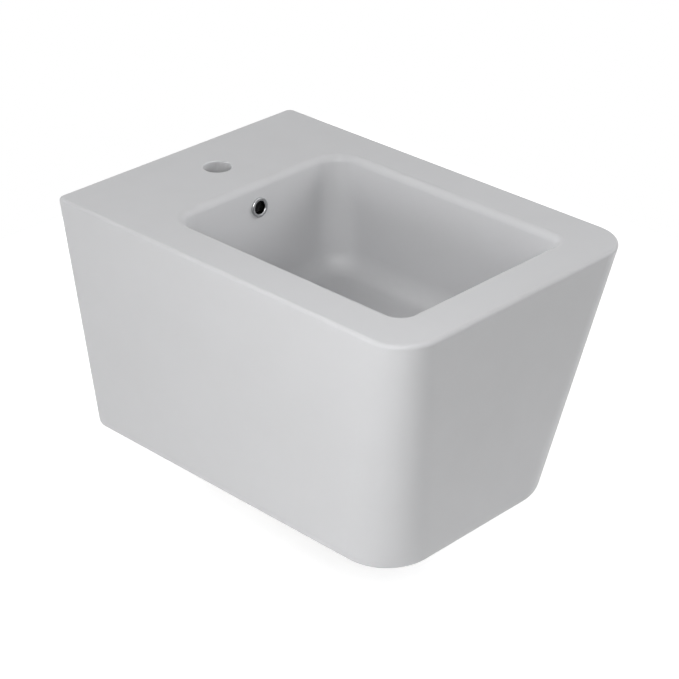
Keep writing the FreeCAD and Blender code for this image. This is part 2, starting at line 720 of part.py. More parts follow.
def nut(body, name, flats, bore, foot, height):
    """Hexagonal nut standing on a height, with its corners turned off at both ends."""
    sketch = new_sketch(body, f"{name}_hexagon", "XY_Plane", foot)
    add_hexagon(sketch, flats)
    add_circle(sketch, bore)
    hexagon = extrude(body, "Pad", name, sketch, height)
    reach = f"(({flats}) / sqrt(3))"
    flat = f"(({flats}) / 2 * {NUT_FACE})"
    for end, start, way in (("foot", foot, ""), ("head", f"({foot}) + ({height})", "-")):
        cutter = new_sketch(body, f"{name}_{end}_turning", "XZ_Plane")
        outside = f"({reach} + {CUTTER_REACH})"
        add_polygon(
            cutter,
            (
                (flat, start),
                (outside, start),
                (outside, f"({start}) + {way}({NUT_SLOPE} * ({outside} - {flat}))"),
            ),
        )
        groove = body.newObject("PartDesign::Groove", f"{name}_{end}")
        groove.Profile = cutter
        groove.ReferenceAxis = (cutter, ["V_Axis"])
        groove.Angle = 360
        doc.recompute()
    return hexagon


flange_foot = "sizes.flange_seal"
stack = "-sizes.waste_seat"
cone_foot = f"({stack} - sizes.cone_seal)"
slip_foot = f"({cone_foot} - sizes.slip_washer)"
nut_foot = f"({slip_foot} - sizes.back_nut)"
groove_floor = "(sizes.thread_width / 2 - sizes.tail_groove_depth)"
flange_top = "(sizes.flange_seal + sizes.flange_edge)"
flange_seal = new_body("waste_flange_seal")
turn(
    flange_seal,
    "flange_seal_ring",
    (
        ("sizes.thread_width / 2 + sizes.flange_seal_gap", "0"),
        ("sizes.flange_width / 2 - sizes.flange_seal_inset", "0"),
        ("sizes.flange_width / 2 - sizes.flange_seal_inset", "sizes.flange_seal"),
        ("sizes.thread_width / 2 + sizes.flange_seal_gap", "sizes.flange_seal"),
    ),
)
on_waste_axis(flange_seal)

waste = new_body("waste_body")
waste_turn = turn(
    waste,
    "waste_tube",
    (
        ("sizes.waste_bore / 2", "sizes.flange_seal"),
        ("sizes.waste_bore / 2 + sizes.flange_edge", flange_top),
        ("sizes.flange_width / 2", flange_top),
        ("sizes.flange_width / 2", flange_foot),
        ("sizes.thread_width / 2", flange_foot),
        ("sizes.thread_width / 2", nut_foot),
        (groove_floor, nut_foot),
        (groove_floor, f"{nut_foot} - sizes.tail_groove"),
        ("sizes.thread_width / 2", f"{nut_foot} - sizes.tail_groove"),
        ("sizes.thread_width / 2", "-sizes.waste_length + sizes.end_chamfer"),
        ("sizes.thread_width / 2 - sizes.end_chamfer", "-sizes.waste_length"),
        ("sizes.waste_bore / 2", "-sizes.waste_length"),
    ),
)
rim_top = value(flange_top)
flange_half = value("sizes.flange_width / 2")
round_edges(
    waste,
    "flange_rounding",
    waste_turn,
    "sizes.flange_round",
    lambda points: level_with(points, rim_top)
    and all(near(math.hypot(p.x, p.y), flange_half) for p in points),
)
spider = new_sketch(waste, "spider", "XY_Plane", "-(sizes.spider_drop + sizes.spider_height)")
add_circle(spider, "sizes.spider_hub / 2")
extrude(waste, "Pad", "spider_hub_pad", spider, "sizes.spider_height")
arm = new_sketch(waste, "spider_arm", "XY_Plane", "-(sizes.spider_drop + sizes.spider_height)")
arm_reach = "(sizes.waste_bore + sizes.thread_width) / 4"
add_polygon(
    arm,
    (
        ("0", "-sizes.spider_arm / 2"),
        (arm_reach, "-sizes.spider_arm / 2"),
        (arm_reach, "sizes.spider_arm / 2"),
        ("0", "sizes.spider_arm / 2"),
    ),
)
arm_pad = extrude(waste, "Pad", "spider_arm_pad", arm, "sizes.spider_height")


def ring_of(body, name, original, count):
    """Repeat a feature evenly round the body's Z axis."""
    pattern = body.newObject("PartDesign::PolarPattern", name)
    axis = [item for item in body.Origin.OriginFeatures if item.Role == "Z_Axis"][0]
    pattern.Originals = [original]
    pattern.Axis = (axis, [""])
    pattern.Angle = 360
    pattern.Occurrences = int(value(count))
    pattern.setExpression("Occurrences", count)
    body.Tip = pattern
    doc.recompute()
    return pattern


ring_of(waste, "spider_arms", arm_pad, "sizes.spider_arms")
hub_bore = new_sketch(waste, "hub_bore", "XY_Plane", "-sizes.spider_drop")
add_circle(hub_bore, "sizes.housing_width / 2 + sizes.nut_gap")
extrude(waste, "Pocket", "hub_bore_cut", hub_bore, "sizes.spider_height")
slot = new_sketch(waste, "slot", "YZ_Plane")
add_round_rectangle(
    slot,
    "sizes.slot_width / 2",
    "-(sizes.slot_drop + sizes.slot_height)",
    "-sizes.slot_drop",
    "sizes.slot_corner",
    "sizes.slot_corner",
)
slot_cut = extrude(waste, "Pocket", "slot_cut", slot, "sizes.thread_width", reversed_way=True)
ring_of(waste, "slot_cuts", slot_cut, "sizes.slot_count")
on_waste_axis(waste)

cone = new_body("waste_cone_seal")
turn(
    cone,
    "cone",
    (
        ("sizes.thread_width / 2 + sizes.slip_gap", stack),
        ("sizes.cone_width / 2 - sizes.cone_lead", stack),
        ("sizes.cone_width / 2", f"{stack} - sizes.cone_lead"),
        ("sizes.cone_width / 2", cone_foot),
        ("sizes.thread_width / 2 + sizes.slip_gap", cone_foot),
    ),
)
on_waste_axis(cone)
slip = new_body("waste_slip_washer")
turn(
    slip,
    "slip",
    (
        ("sizes.thread_width / 2 + sizes.slip_gap", cone_foot),
        ("sizes.cone_width / 2", cone_foot),
        ("sizes.cone_width / 2", slip_foot),
        ("sizes.thread_width / 2 + sizes.slip_gap", slip_foot),
    ),
)
on_waste_axis(slip)
back_nut = new_body("waste_back_nut")
nut(
    back_nut,
    "back_nut_hexagon",
    "sizes.back_nut_flats",
    "sizes.thread_width / 2 + sizes.nut_gap",
    nut_foot,
    "sizes.back_nut",
)
on_waste_axis(back_nut)

# Click cartridge: a housing held in the spider by its nut, a plunger and its spring
housing_seat = "-sizes.spider_drop"
housing_top = f"({housing_seat} + sizes.housing_collar_height)"
housing_foot = f"({housing_seat} - sizes.housing_length)"
housing_floor = f"({housing_foot} + sizes.housing_base)"
housing = new_body("click_housing")
turn(
    housing,
    "housing",
    (
        ("sizes.housing_bore / 2", housing_top),
        ("sizes.housing_collar / 2", housing_top),
        ("sizes.housing_collar / 2", housing_seat),
        ("sizes.housing_width / 2", housing_seat),
        ("sizes.housing_width / 2", housing_foot),
        ("sizes.housing_base / 2", housing_foot),
        ("sizes.housing_base / 2", housing_floor),
        ("sizes.housing_bore / 2", housing_floor),
    ),
)
on_waste_axis(housing)
housing_nut = new_body("click_housing_nut")
nut(
    housing_nut,
    "housing_nut_hexagon",
    "sizes.housing_nut_flats",
    "sizes.housing_width / 2 + sizes.nut_gap",
    f"{housing_seat} - sizes.spider_height - sizes.housing_nut",
    "sizes.housing_nut",
)
on_waste_axis(housing_nut)

plunger_top = f"({housing_top} + sizes.plunger_head)"
plunger_foot = f"({plunger_top} - sizes.plunger_length)"
stem_foot = f"({plunger_top} - sizes.stem_depth)"
plunger = new_body("click_plunger")
turn(
    plunger,
    "plunger",
    (
        ("sizes.stem_width / 2 + sizes.nut_gap", plunger_top),
        ("sizes.plunger_width / 2 - sizes.plunger_chamfer", plunger_top),
        ("sizes.plunger_width / 2", f"{plunger_top} - sizes.plunger_chamfer"),
        ("sizes.plunger_width / 2", plunger_foot),
        ("0", plunger_foot),
        ("0", stem_foot),
        ("sizes.stem_width / 2 + sizes.nut_gap", stem_foot),
    ),
)
on_waste_axis(plunger)

# Plug: domed cap with its seal, on a stem screwed into the plunger and locked by a nut
seal_foot = f"({flange_top} + sizes.plug_gap)"
seal_top = f"({seal_foot} + sizes.plug_seal)"
cap_rim = f"({seal_top} - sizes.plug_edge + sizes.plug_step)"
cap_shoulder = f"({cap_rim} + sizes.plug_edge)"
stem_top = f"({seal_top} + sizes.stem_reach)"
cap = new_body("plug_cap")
turn(
    cap,
    "cap",
    (
        ("0", f"{cap_shoulder} + sizes.plug_crown"),
        ("sizes.plug_width / 2", cap_shoulder),
        ("sizes.plug_width / 2", cap_rim),
        ("sizes.plug_width / 2 - sizes.plug_skin", cap_rim),
        ("sizes.plug_width / 2 - sizes.plug_skin", seal_top),
        ("sizes.plug_boss / 2", seal_top),
        ("sizes.plug_boss / 2", f"{seal_top} - sizes.plug_boss_height"),
        ("sizes.stem_width / 2 + sizes.nut_gap", f"{seal_top} - sizes.plug_boss_height"),
        ("sizes.stem_width / 2 + sizes.nut_gap", stem_top),
        ("0", stem_top),
    ),
    {0: "sizes.plug_width * sizes.plug_width / 8 / sizes.plug_crown + sizes.plug_crown / 2"},
)
on_waste_axis(cap)
seal = new_body("plug_seal")
turn(
    seal,
    "seal",
    (
        ("sizes.plug_seal_inside / 2", seal_top),
        ("sizes.plug_seal_outside / 2", seal_top),
        ("sizes.plug_seal_outside / 2", f"{seal_top} - sizes.plug_seal_edge"),
        ("sizes.plug_seal_outside / 2 - sizes.plug_seal_lip", seal_foot),
        ("sizes.plug_seal_inside / 2", seal_foot),
    ),
)
on_waste_axis(seal)
stem = new_body("plug_stem")
turn(
    stem,
    "stem",
    (
        ("0", stem_top),
        ("sizes.stem_width / 2", stem_top),
        ("sizes.stem_width / 2", stem_foot),
        ("0", stem_foot),
    ),
)
on_waste_axis(stem)
stem_nut = new_body("plug_stem_nut")
nut(
    stem_nut,
    "stem_nut_hexagon",
    "sizes.stem_nut_flats",
    "sizes.stem_width / 2 + sizes.nut_gap",
    plunger_top,
    "sizes.stem_nut",
)
on_waste_axis(stem_nut)

# Spring: an open helix with one close coil at each end, as quarter-turn arcs that meet tangentially


def quarter_arcs(start, start_way, end, end_way):
    """Two arcs from one point and direction to another, sharing a tangent where they meet."""
    across = end - start
    ways = start_way + end_way
    spread = 2 * (1 - start_way.dot(end_way))
    slope = across.dot(ways)
    reach = (-slope + math.sqrt(slope**2 + spread * across.dot(across))) / spread
    start_knee = start + start_way * reach
    end_knee = end - end_way * reach
    middle = (start_knee + end_knee) / 2
    arcs = []
    for first, knee, last in ((start, start_knee, middle), (middle, end_knee, end)):
        chord = (first + last) / 2
        half = (last - first).Length / 2
        rise = (knee - chord).Length
        radius = half * math.hypot(half, rise) / rise
        centre_drop = math.sqrt(radius**2 - half**2)
        top = chord + (knee - chord).normalize() * (radius - centre_drop)
        arcs.append(Part.Arc(first, top, last).toShape())
    return arcs


wire = sheet.spring_wire
coil = (sheet.spring_width - wire) / 2
turns = int(sheet.spring_turns)
spring_foot = value(housing_floor) + wire / 2
spring_length = value(plunger_foot) - value(housing_floor) - wire
close_pitch = wire + sheet.spring_gap
open_pitch = (spring_length - 2 * close_pitch) / (turns - 2)
pitches = [close_pitch] * 2 + [open_pitch] * (2 * turns - 4) + [close_pitch] * 2
heights = [spring_foot]
for pitch in pitches:
    heights.append(heights[-1] + pitch / 2)
slopes = [pitches[0]] + [(a + b) / 2 for a, b in zip(pitches, pitches[1:])] + [pitches[-1]]


def coil_point(step):
    angle = step * math.pi
    point = Vector(coil * math.cos(angle), coil * math.sin(angle), heights[step])
    way = Vector(-math.sin(angle), math.cos(angle), slopes[step] / (2 * math.pi * coil)).normalize()
    return point, way


path = []
for step in range(2 * turns):
    path += quarter_arcs(*coil_point(step), *coil_point(step + 1))
foot_point, foot_way = coil_point(0)
section = Part.Wire(Part.Circle(foot_point, foot_way, wire / 2).toShape())
spring = doc.addObject("Part::Feature", "click_spring")
spring.Label = "click_spring"
spring.Shape = Part.Wire(path).makePipeShell([section], True, False)
spring.Placement = Placement(Vector(0, -sheet.waste_back, value(SEAT)), Rotation())
path_length = sum(edge.Length for edge in path)
print(f"spring: wire gap {close_pitch - wire:.2f} mm between its closest turns,", end=" ")
print(f"volume {spring.Shape.Volume / (math.pi * wire**2 / 4 * path_length):.4f} of wire section by length")

# Wall fixings: one of each, modelled on the right and mirrored to the left
boss_face = "(sizes.rear_panel + sizes.stud_boss_depth)"


def pair(body, label):
    """The same piece on both sides, kept as one node of two solids."""
    place(body, "sizes.stud_spacing / 2", "0", "0", Vector(1, 0, 0), "90")
    mirrored = doc.addObject("Part::Mirroring", f"{label}_mirrored")
    mirrored.Source = body
    mirrored.Normal = Vector(1, 0, 0)
    both = doc.addObject("Part::Compound", label)
    both.Links = [body, mirrored]
    both.Label = label
    doc.recompute()
    return both


stud = new_body("fixing_stud")
turn(
    stud,
    "stud",
    (
        ("0", "sizes.stud_in"),
        ("sizes.stud_thread / 2 - sizes.end_chamfer", "sizes.stud_in"),
        ("sizes.stud_thread / 2", "sizes.stud_in - sizes.end_chamfer"),
        ("sizes.stud_thread / 2", "0"),
        ("sizes.stud_width / 2", "0"),
        ("sizes.stud_width / 2", "-sizes.stud_out + sizes.end_chamfer"),
        ("sizes.stud_width / 2 - sizes.end_chamfer", "-sizes.stud_out"),
        ("0", "-sizes.stud_out"),
    ),
)
studs = pair(stud, "fixing_studs")

sleeve = new_body("fixing_sleeve")
collar_face = f"({boss_face} + sizes.sleeve_collar_height)"
turn(
    sleeve,
    "sleeve",
    (
        ("sizes.sleeve_bore / 2", "sizes.sleeve_short"),
        ("sizes.sleeve_width / 2", "sizes.sleeve_short"),
        ("sizes.sleeve_width / 2", boss_face),
        ("sizes.sleeve_collar / 2", boss_face),
        ("sizes.sleeve_collar / 2", f"{collar_face} - sizes.end_chamfer"),
        ("sizes.sleeve_collar / 2 - sizes.end_chamfer", collar_face),
        ("sizes.sleeve_bore / 2", collar_face),
    ),
)
sleeves = pair(sleeve, "fixing_sleeves")

washer = new_body("fixing_washer")
washer_face = f"({collar_face} + sizes.stud_washer)"
turn(
    washer,
    "washer",
    (
        ("sizes.sleeve_bore / 2", collar_face),
        ("sizes.stud_washer_width / 2", collar_face),
        ("sizes.stud_washer_width / 2", washer_face),
        ("sizes.sleeve_bore / 2", washer_face),
    ),
)
washers = pair(washer, "fixing_washers")

stud_nut = new_body("fixing_nut")
nut(
    stud_nut,
    "stud_nut_hexagon",
    "sizes.stud_nut_flats",
    "sizes.stud_thread / 2 + sizes.nut_gap",
    washer_face,
    "sizes.stud_nut",
)
nuts = pair(stud_nut, "fixing_nuts")

# Check every object and sub-part, then write one file for each
doc.recompute()
failed = [item.Name for item in doc.Objects if "Invalid" in item.State or "Error" in item.State]
if failed:
    raise RuntimeError(f"objects failed: {failed}")
sub_parts = (
    ceramic,
    ring,
    grip,
    flange_seal,
    waste,
    cone,
    slip,
    back_nut,
    housing,
    housing_nut,
    plunger,
    spring,
    stem,
    stem_nut,
    cap,
    seal,
    studs,
    sleeves,
    washers,
    nuts,
)
os.makedirs("parts", exist_ok=True)
for item in sub_parts:
    if item.Shape.isNull() or not item.Shape.isValid():
        raise RuntimeError(f"bad shape: {item.Label}")
for item in sub_parts:
    item.Shape.exportStep(f"parts/{item.Label}.step")
    box = item.Shape.optimalBoundingBox()
    print(
        f"{item.Label}: {len(item.Shape.Solids)} solid, {item.Shape.Volume / 1000:.2f} cm3,",
        f"x {box.XMin:.1f} {box.XMax:.1f}, y {box.YMin:.1f} {box.YMax:.1f}, z {box.ZMin:.1f} {box.ZMax:.1f}",
    )
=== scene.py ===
import math

import bpy
from mathutils import Matrix, Vector


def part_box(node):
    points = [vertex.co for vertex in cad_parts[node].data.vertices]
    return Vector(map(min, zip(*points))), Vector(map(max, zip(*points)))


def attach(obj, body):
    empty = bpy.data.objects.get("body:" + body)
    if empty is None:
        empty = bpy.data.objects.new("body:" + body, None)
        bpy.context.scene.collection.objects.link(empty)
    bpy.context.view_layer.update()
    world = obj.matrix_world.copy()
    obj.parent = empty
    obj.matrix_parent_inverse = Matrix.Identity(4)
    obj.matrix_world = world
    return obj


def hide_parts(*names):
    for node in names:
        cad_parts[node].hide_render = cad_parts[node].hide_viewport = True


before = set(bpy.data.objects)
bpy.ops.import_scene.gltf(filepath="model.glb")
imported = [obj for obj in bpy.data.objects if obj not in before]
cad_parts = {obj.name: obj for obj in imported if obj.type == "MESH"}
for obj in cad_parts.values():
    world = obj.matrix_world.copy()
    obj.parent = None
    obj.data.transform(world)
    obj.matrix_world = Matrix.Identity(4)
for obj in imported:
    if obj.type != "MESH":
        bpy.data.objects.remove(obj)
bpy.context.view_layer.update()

# Ceramic body: one hollow casting in vitreous china, sprayed with a satin glaze and fired.
# The glaze covers the skin, the basin and the tap hole. The back is ground flat to meet the wall,
# and the inside of the casting stays raw clay.


def new_finish(name):
    """A material with nothing in it but its shader and output."""
    finish = bpy.data.materials.new(name)
    finish.use_nodes = True
    return finish, finish.node_tree.nodes["Principled BSDF"]


def feed(finish, socket, value):
    """Give an input a plain value, or join it to another node's socket."""
    if isinstance(value, bpy.types.NodeSocket):
        finish.node_tree.links.new(value, socket)
    else:
        socket.default_value = value


def add_node(finish, kind, inputs=None, **settings):
    """A node with its settings and its inputs."""
    node = finish.node_tree.nodes.new(kind)
    for key, value in settings.items():
        setattr(node, key, value)
    for key, value in (inputs or {}).items():
        feed(finish, node.inputs[key], value)
    return node


def places(finish):
    """Where each point lies on the object, in metres."""
    return add_node(finish, "ShaderNodeTexCoord").outputs["Object"]


def sum_up(finish, operation, *values):
    """The result of one step of arithmetic."""
    return add_node(finish, "ShaderNodeMath", dict(enumerate(values)), operation=operation).outputs[0]


def grain(finish, coords, scale, detail=2.0, roughness=0.5):
    """Soft random grain, with features about 1/scale of a metre apart."""
    inputs = {"Vector": coords, "Scale": scale, "Detail": detail, "Roughness": roughness}
    return add_node(finish, "ShaderNodeTexNoise", inputs).outputs["Fac"]


def spread(finish, value, low, high, start=0.0, end=1.0):
    """From low to high as the value goes from start to end, and level past both."""
    inputs = {"Value": value, "From Min": start, "From Max": end, "To Min": low, "To Max": high}
    return add_node(finish, "ShaderNodeMapRange", inputs).outputs["Result"]


def even_spread(finish, grain_value, low, high):
    """From low to high over the span that grain mostly keeps to."""
    usual_least = 0.3
    usual_most = 0.7
    return spread(finish, grain_value, low, high, usual_least, usual_most)


def blend_colours(finish, share, first, second):
    """The first colour where the share is zero, and the second where it is one."""
    node = add_node(finish, "ShaderNodeMix", data_type="RGBA")
    feed(finish, node.inputs[0], share)
    feed(finish, node.inputs[6], first)
    feed(finish, node.inputs[7], second)
    return node.outputs[2]


def relief(finish, height, depth, under=None):
    """Surface relief of a depth in metres, laid over another relief if there is one."""
    inputs = {"Height": height, "Distance": depth, "Strength": 1.0}
    if under is not None:
        inputs["Normal"] = under
    return add_node(finish, "ShaderNodeBump", inputs).outputs["Normal"]


def make_up(finish, shader, colour, roughness, surface, metal=0.0):
    """Join a finish's colour, roughness and relief to its shader."""
    feed(finish, shader.inputs["Base Color"], colour)
    feed(finish, shader.inputs["Roughness"], roughness)
    feed(finish, shader.inputs["Normal"], surface)
    shader.inputs["Metallic"].default_value = metal


def wear(finish, node):
    """Put a finish on a CAD node, in place of its plain one."""
    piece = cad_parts[node]
    piece.data.materials.clear()
    piece.data.materials.append(finish)


def level_reach(finish, across, along):
    """How far a point lies from an upright line, from its two level distances."""
    way = add_node(finish, "ShaderNodeCombineXYZ", {"X": across, "Y": along}).outputs[0]
    return add_node(finish, "ShaderNodeVectorMath", {0: way}, operation="LENGTH").outputs["Value"]


def outside(finish, across, along, half_width, half_length, corner):
    """How far a point lies outside a rectangle with round corners. Inside, it is below zero."""
    past = []
    for place, half in ((across, half_width), (along, half_length)):
        straight = sum_up(finish, "SUBTRACT", half, corner)
        beyond = sum_up(finish, "SUBTRACT", sum_up(finish, "ABSOLUTE", place), straight)
        past.append(sum_up(finish, "MAXIMUM", beyond, 0.0))
    return sum_up(finish, "SUBTRACT", level_reach(finish, *past), corner)


satin_glaze, glaze_shader = new_finish("satin_glaze")
coords = places(satin_glaze)
x, y, z = add_node(satin_glaze, "ShaderNodeSeparateXYZ", {0: coords}).outputs

# The skin narrows from the rim to the foot. Its depth runs from the wall, at zero, to the front.
rim = 0.080
rim_half_width = 0.180
rim_depth = 0.522
rim_corner = 0.0465
foot = -0.231
foot_half_width = 0.14025
foot_depth = 0.467
foot_corner = 0.0635
skin = outside(
    satin_glaze,
    x,
    y,
    spread(satin_glaze, z, foot_half_width, rim_half_width, foot, rim),
    spread(satin_glaze, z, foot_depth, rim_depth, foot, rim),
    spread(satin_glaze, z, foot_corner, rim_corner, foot, rim),
)

# The basin widens from its floor to its mouth. Its middle is given as a distance from the wall.
mouth_middle = 0.299
mouth_half_width = 0.1255
mouth_half_length = 0.168
mouth_corner = 0.022
basin_floor = -0.057
floor_middle = 0.295
floor_half_width = 0.119
floor_half_length = 0.153
floor_corner = 0.040
basin_middle = spread(satin_glaze, z, floor_middle, mouth_middle, basin_floor, rim)
basin = outside(
    satin_glaze,
    x,
    sum_up(satin_glaze, "ADD", y, basin_middle),
    spread(satin_glaze, z, floor_half_width, mouth_half_width, basin_floor, rim),
    spread(satin_glaze, z, floor_half_length, mouth_half_length, basin_floor, rim),
    spread(satin_glaze, z, floor_corner, mouth_corner, basin_floor, rim),
)
half_wall = 0.0045
shell_floor = -0.065
in_basin = sum_up(
    satin_glaze,
    "MULTIPLY",
    sum_up(satin_glaze, "LESS_THAN", basin, half_wall),
    sum_up(satin_glaze, "GREATER_THAN", z, shell_floor),
)

# Raw clay starts half way through each wall, where the spray faded out in an uneven edge.
half_deck = 0.0065
half_foot = 0.005
tap_middle = 0.0665
tap_edge = 0.0175
fade = 0.002
uneven = even_spread(satin_glaze, grain(satin_glaze, coords, scale=60.0), -fade, fade)
from_tap = level_reach(satin_glaze, x, sum_up(satin_glaze, "ADD", y, tap_middle))
hollow = sum_up(satin_glaze, "SUBTRACT", 1.0, in_basin)
for value, test, limit in (
    (from_tap, "GREATER_THAN", tap_edge),
    (sum_up(satin_glaze, "ADD", skin, uneven), "LESS_THAN", -half_wall),
    (sum_up(satin_glaze, "ADD", y, uneven), "LESS_THAN", -half_deck),
    (sum_up(satin_glaze, "ADD", z, uneven), "LESS_THAN", rim - half_deck),
    (sum_up(satin_glaze, "ADD", z, uneven), "GREATER_THAN", foot + half_foot),
):
    hollow = sum_up(satin_glaze, "MULTIPLY", hollow, sum_up(satin_glaze, test, value, limit))
ground_depth = -0.0004
ground_back = sum_up(satin_glaze, "GREATER_THAN", y, ground_depth)
raw = sum_up(satin_glaze, "MAXIMUM", hollow, ground_back)

pale_glaze = (0.590, 0.592, 0.604, 1.0)
dark_glaze = (0.580, 0.582, 0.592, 1.0)
flow = grain(satin_glaze, coords, scale=9.0)
glaze_tone = blend_colours(satin_glaze, even_spread(satin_glaze, flow, 0.0, 1.0), pale_glaze, dark_glaze)
pale_clay = (0.60, 0.585, 0.55, 1.0)
dark_clay = (0.54, 0.52, 0.48, 1.0)
mottle = even_spread(satin_glaze, grain(satin_glaze, coords, scale=45.0, detail=4.0), 0.0, 1.0)
clay_tone = blend_colours(satin_glaze, mottle, pale_clay, dark_clay)
clay_roughness = 0.92
glaze_roughness = even_spread(satin_glaze, grain(satin_glaze, coords, scale=35.0), low=0.38, high=0.46)
peel = grain(satin_glaze, coords, scale=170.0, detail=1.0)
pores = sum_up(satin_glaze, "MULTIPLY", grain(satin_glaze, coords, scale=900.0, detail=3.0), raw)
waves = relief(satin_glaze, flow, depth=0.0006)
peel_relief = relief(satin_glaze, peel, depth=0.00002, under=waves)
make_up(
    satin_glaze,
    glaze_shader,
    blend_colours(satin_glaze, raw, glaze_tone, clay_tone),
    spread(satin_glaze, raw, glaze_roughness, clay_roughness),
    relief(satin_glaze, pores, depth=0.0003, under=peel_relief),
)
glaze_shader.inputs["IOR"].default_value = 1.5
wear(satin_glaze, "ceramic_body")

# Overflow ring: a brass pressing, chromed and polished, pushed into the rear wall of the basin.
# A black rubber sleeve round it grips the ceramic.


def drawn_lines(finish, coords, squeeze, scale):
    """Fine lines as polishing, drawing and lathe work leave them, close together where squeeze is large."""
    drawn = add_node(finish, "ShaderNodeMapping", {"Vector": coords, "Scale": squeeze}).outputs[0]
    return grain(finish, drawn, scale, detail=3.0, roughness=0.6)


chrome, chrome_shader = new_finish("polished_chrome")
coords = places(chrome)
chrome_tone = (0.55, 0.556, 0.565, 1.0)
cloth_lines = drawn_lines(chrome, coords, squeeze=(1.0, 0.2, 8.0), scale=260.0)
bloom = sum_up(chrome, "MULTIPLY", grain(chrome, coords, scale=90.0), cloth_lines)
make_up(
    chrome,
    chrome_shader,
    chrome_tone,
    spread(chrome, bloom, low=0.05, high=0.16, start=0.12, end=0.45),
    relief(chrome, cloth_lines, depth=0.000004),
    metal=1.0,
)
wear(chrome, "overflow_ring")

black_rubber, rubber_shader = new_finish("black_rubber")
coords = places(black_rubber)
clean_rubber = (0.026, 0.026, 0.027, 1.0)
dusty_rubber = (0.046, 0.046, 0.045, 1.0)
dust_grain = grain(black_rubber, coords, scale=120.0, detail=4.0)
dust = spread(black_rubber, dust_grain, low=0.0, high=1.0, start=0.45, end=0.75)
mould_grain = grain(black_rubber, coords, scale=1400.0, detail=3.0)
make_up(
    black_rubber,
    rubber_shader,
    blend_colours(black_rubber, dust, clean_rubber, dusty_rubber),
    even_spread(black_rubber, mould_grain, low=0.6, high=0.8),
    relief(black_rubber, mould_grain, depth=0.00005),
)
wear(black_rubber, "overflow_sleeve")

# Waste: a chromed brass body with a flange in the basin and slots that let the overflow in.
# Rubber seals it above and below the ceramic, and the thread of its tail shows below the back nut.


def threaded_bar(crest, depth, pitch, start, end, chamfer, bore=0.0):
    """Points and faces of a bar along Z with a V thread and chamfered ends. With a bore it is a sleeve."""
    sides = 36
    steps = 12
    flat = 0.15
    levels = round((end - start) / pitch * steps)
    points = []
    for level in range(levels + 1):
        height = start + (end - start) * level / levels
        to_end = min(height - start, end - height)
        for side in range(sides):
            turn = side / sides
            ridge = abs(2.0 * ((height / pitch - turn) % 1.0) - 1.0)
            ridge = min(1.0, max(0.0, ridge * (1.0 + 2.0 * flat) - flat))
            radius = min(crest - depth * (1.0 - ridge), crest - chamfer + to_end)
            angle = 2.0 * math.pi * turn
            points.append((radius * math.cos(angle), radius * math.sin(angle), height))
    first = list(range(sides))
    last = [levels * sides + side for side in range(sides)]
    faces = []
    for level in range(levels):
        for side in range(sides):
            here = level * sides + side
            beside = level * sides + (side + 1) % sides
            faces.append((here, beside, beside + sides, here + sides))
    if not bore:
        return points, faces + [first[::-1], last]
    low = len(points)
    high = low + sides
    for height in (start, end):
        for side in range(sides):
            angle = 2.0 * math.pi * side / sides
            points.append((bore * math.cos(angle), bore * math.sin(angle), height))
    for side in range(sides):
        beside = (side + 1) % sides
        faces.append((low + side, low + beside, beside, side))
        faces.append((last[side], last[beside], high + beside, high + side))
        faces.append((high + side, high + beside, low + beside, low + side))
    return points, faces


def new_piece(name, points, faces, finish, body):
    """A piece of its own, smooth over its gentle edges, that moves with a body."""
    gentle = math.radians(25.0)
    mesh = bpy.data.meshes.new(name)
    mesh.from_pydata(points, [], faces)
    mesh.materials.append(finish)
    mesh.shade_smooth()
    mesh.set_sharp_from_angle(angle=gentle)
    piece = bpy.data.objects.new(name, mesh)
    bpy.context.scene.collection.objects.link(piece)
    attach(piece, body)
    return piece


# The tail's thread is a ridged sleeve let into it, from just above its end to just below the nut.
waste_low, waste_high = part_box("waste_body")
waste_axis = (waste_low + waste_high) / 2.0
nut_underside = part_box("waste_back_nut")[0].z
tail_radius = 0.02095
ridge_height = 0.0003
sleeve_wall = 0.001
end_clear = 0.0012
points, faces = threaded_bar(
    crest=tail_radius + ridge_height,
    depth=0.0007,
    pitch=0.002309,
    start=waste_low.z + end_clear,
    end=nut_underside - end_clear,
    chamfer=0.0009,
    bore=tail_radius - sleeve_wall,
)
points = [(waste_axis.x + x, waste_axis.y + y, z) for x, y, z in points]
new_piece("waste_thread", points, faces, chrome, "bidet")
wear(chrome, "waste_body")
wear(black_rubber, "waste_flange_seal")
wear(black_rubber, "waste_cone_seal")

# Back nut and slip washer: the nut is turned from brass bar and pulls the waste down on its seals,
# and the washer is moulded in nylon, so that the rubber doesn't wring as the nut turns.
brass, brass_shader = new_finish("turned_brass")
coords = places(brass)
bright_brass = (0.72, 0.54, 0.26, 1.0)
dull_brass = (0.50, 0.35, 0.16, 1.0)
tarnish_grain = grain(brass, coords, scale=130.0, detail=4.0)
tarnish = spread(brass, tarnish_grain, low=0.0, high=1.0, start=0.42, end=0.72)
tool_lines = drawn_lines(brass, coords, squeeze=(0.05, 0.05, 6.0), scale=420.0)
make_up(
    brass,
    brass_shader,
    blend_colours(brass, tarnish, bright_brass, dull_brass),
    even_spread(brass, tool_lines, low=0.22, high=0.42),
    relief(brass, tool_lines, depth=0.00003),
    metal=1.0,
)
wear(brass, "waste_back_nut")

nylon, nylon_shader = new_finish("white_nylon")
coords = places(nylon)
white_nylon = (0.64, 0.63, 0.60, 1.0)
cream_nylon = (0.60, 0.59, 0.55, 1.0)
yellowing = even_spread(nylon, grain(nylon, coords, scale=70.0), 0.0, 1.0)
spark_grain = grain(nylon, coords, scale=1100.0)
make_up(
    nylon,
    nylon_shader,
    blend_colours(nylon, yellowing, white_nylon, cream_nylon),
    even_spread(nylon, spark_grain, low=0.45, high=0.6),
    relief(nylon, spark_grain, depth=0.00004),
)
wear(nylon, "waste_slip_washer")

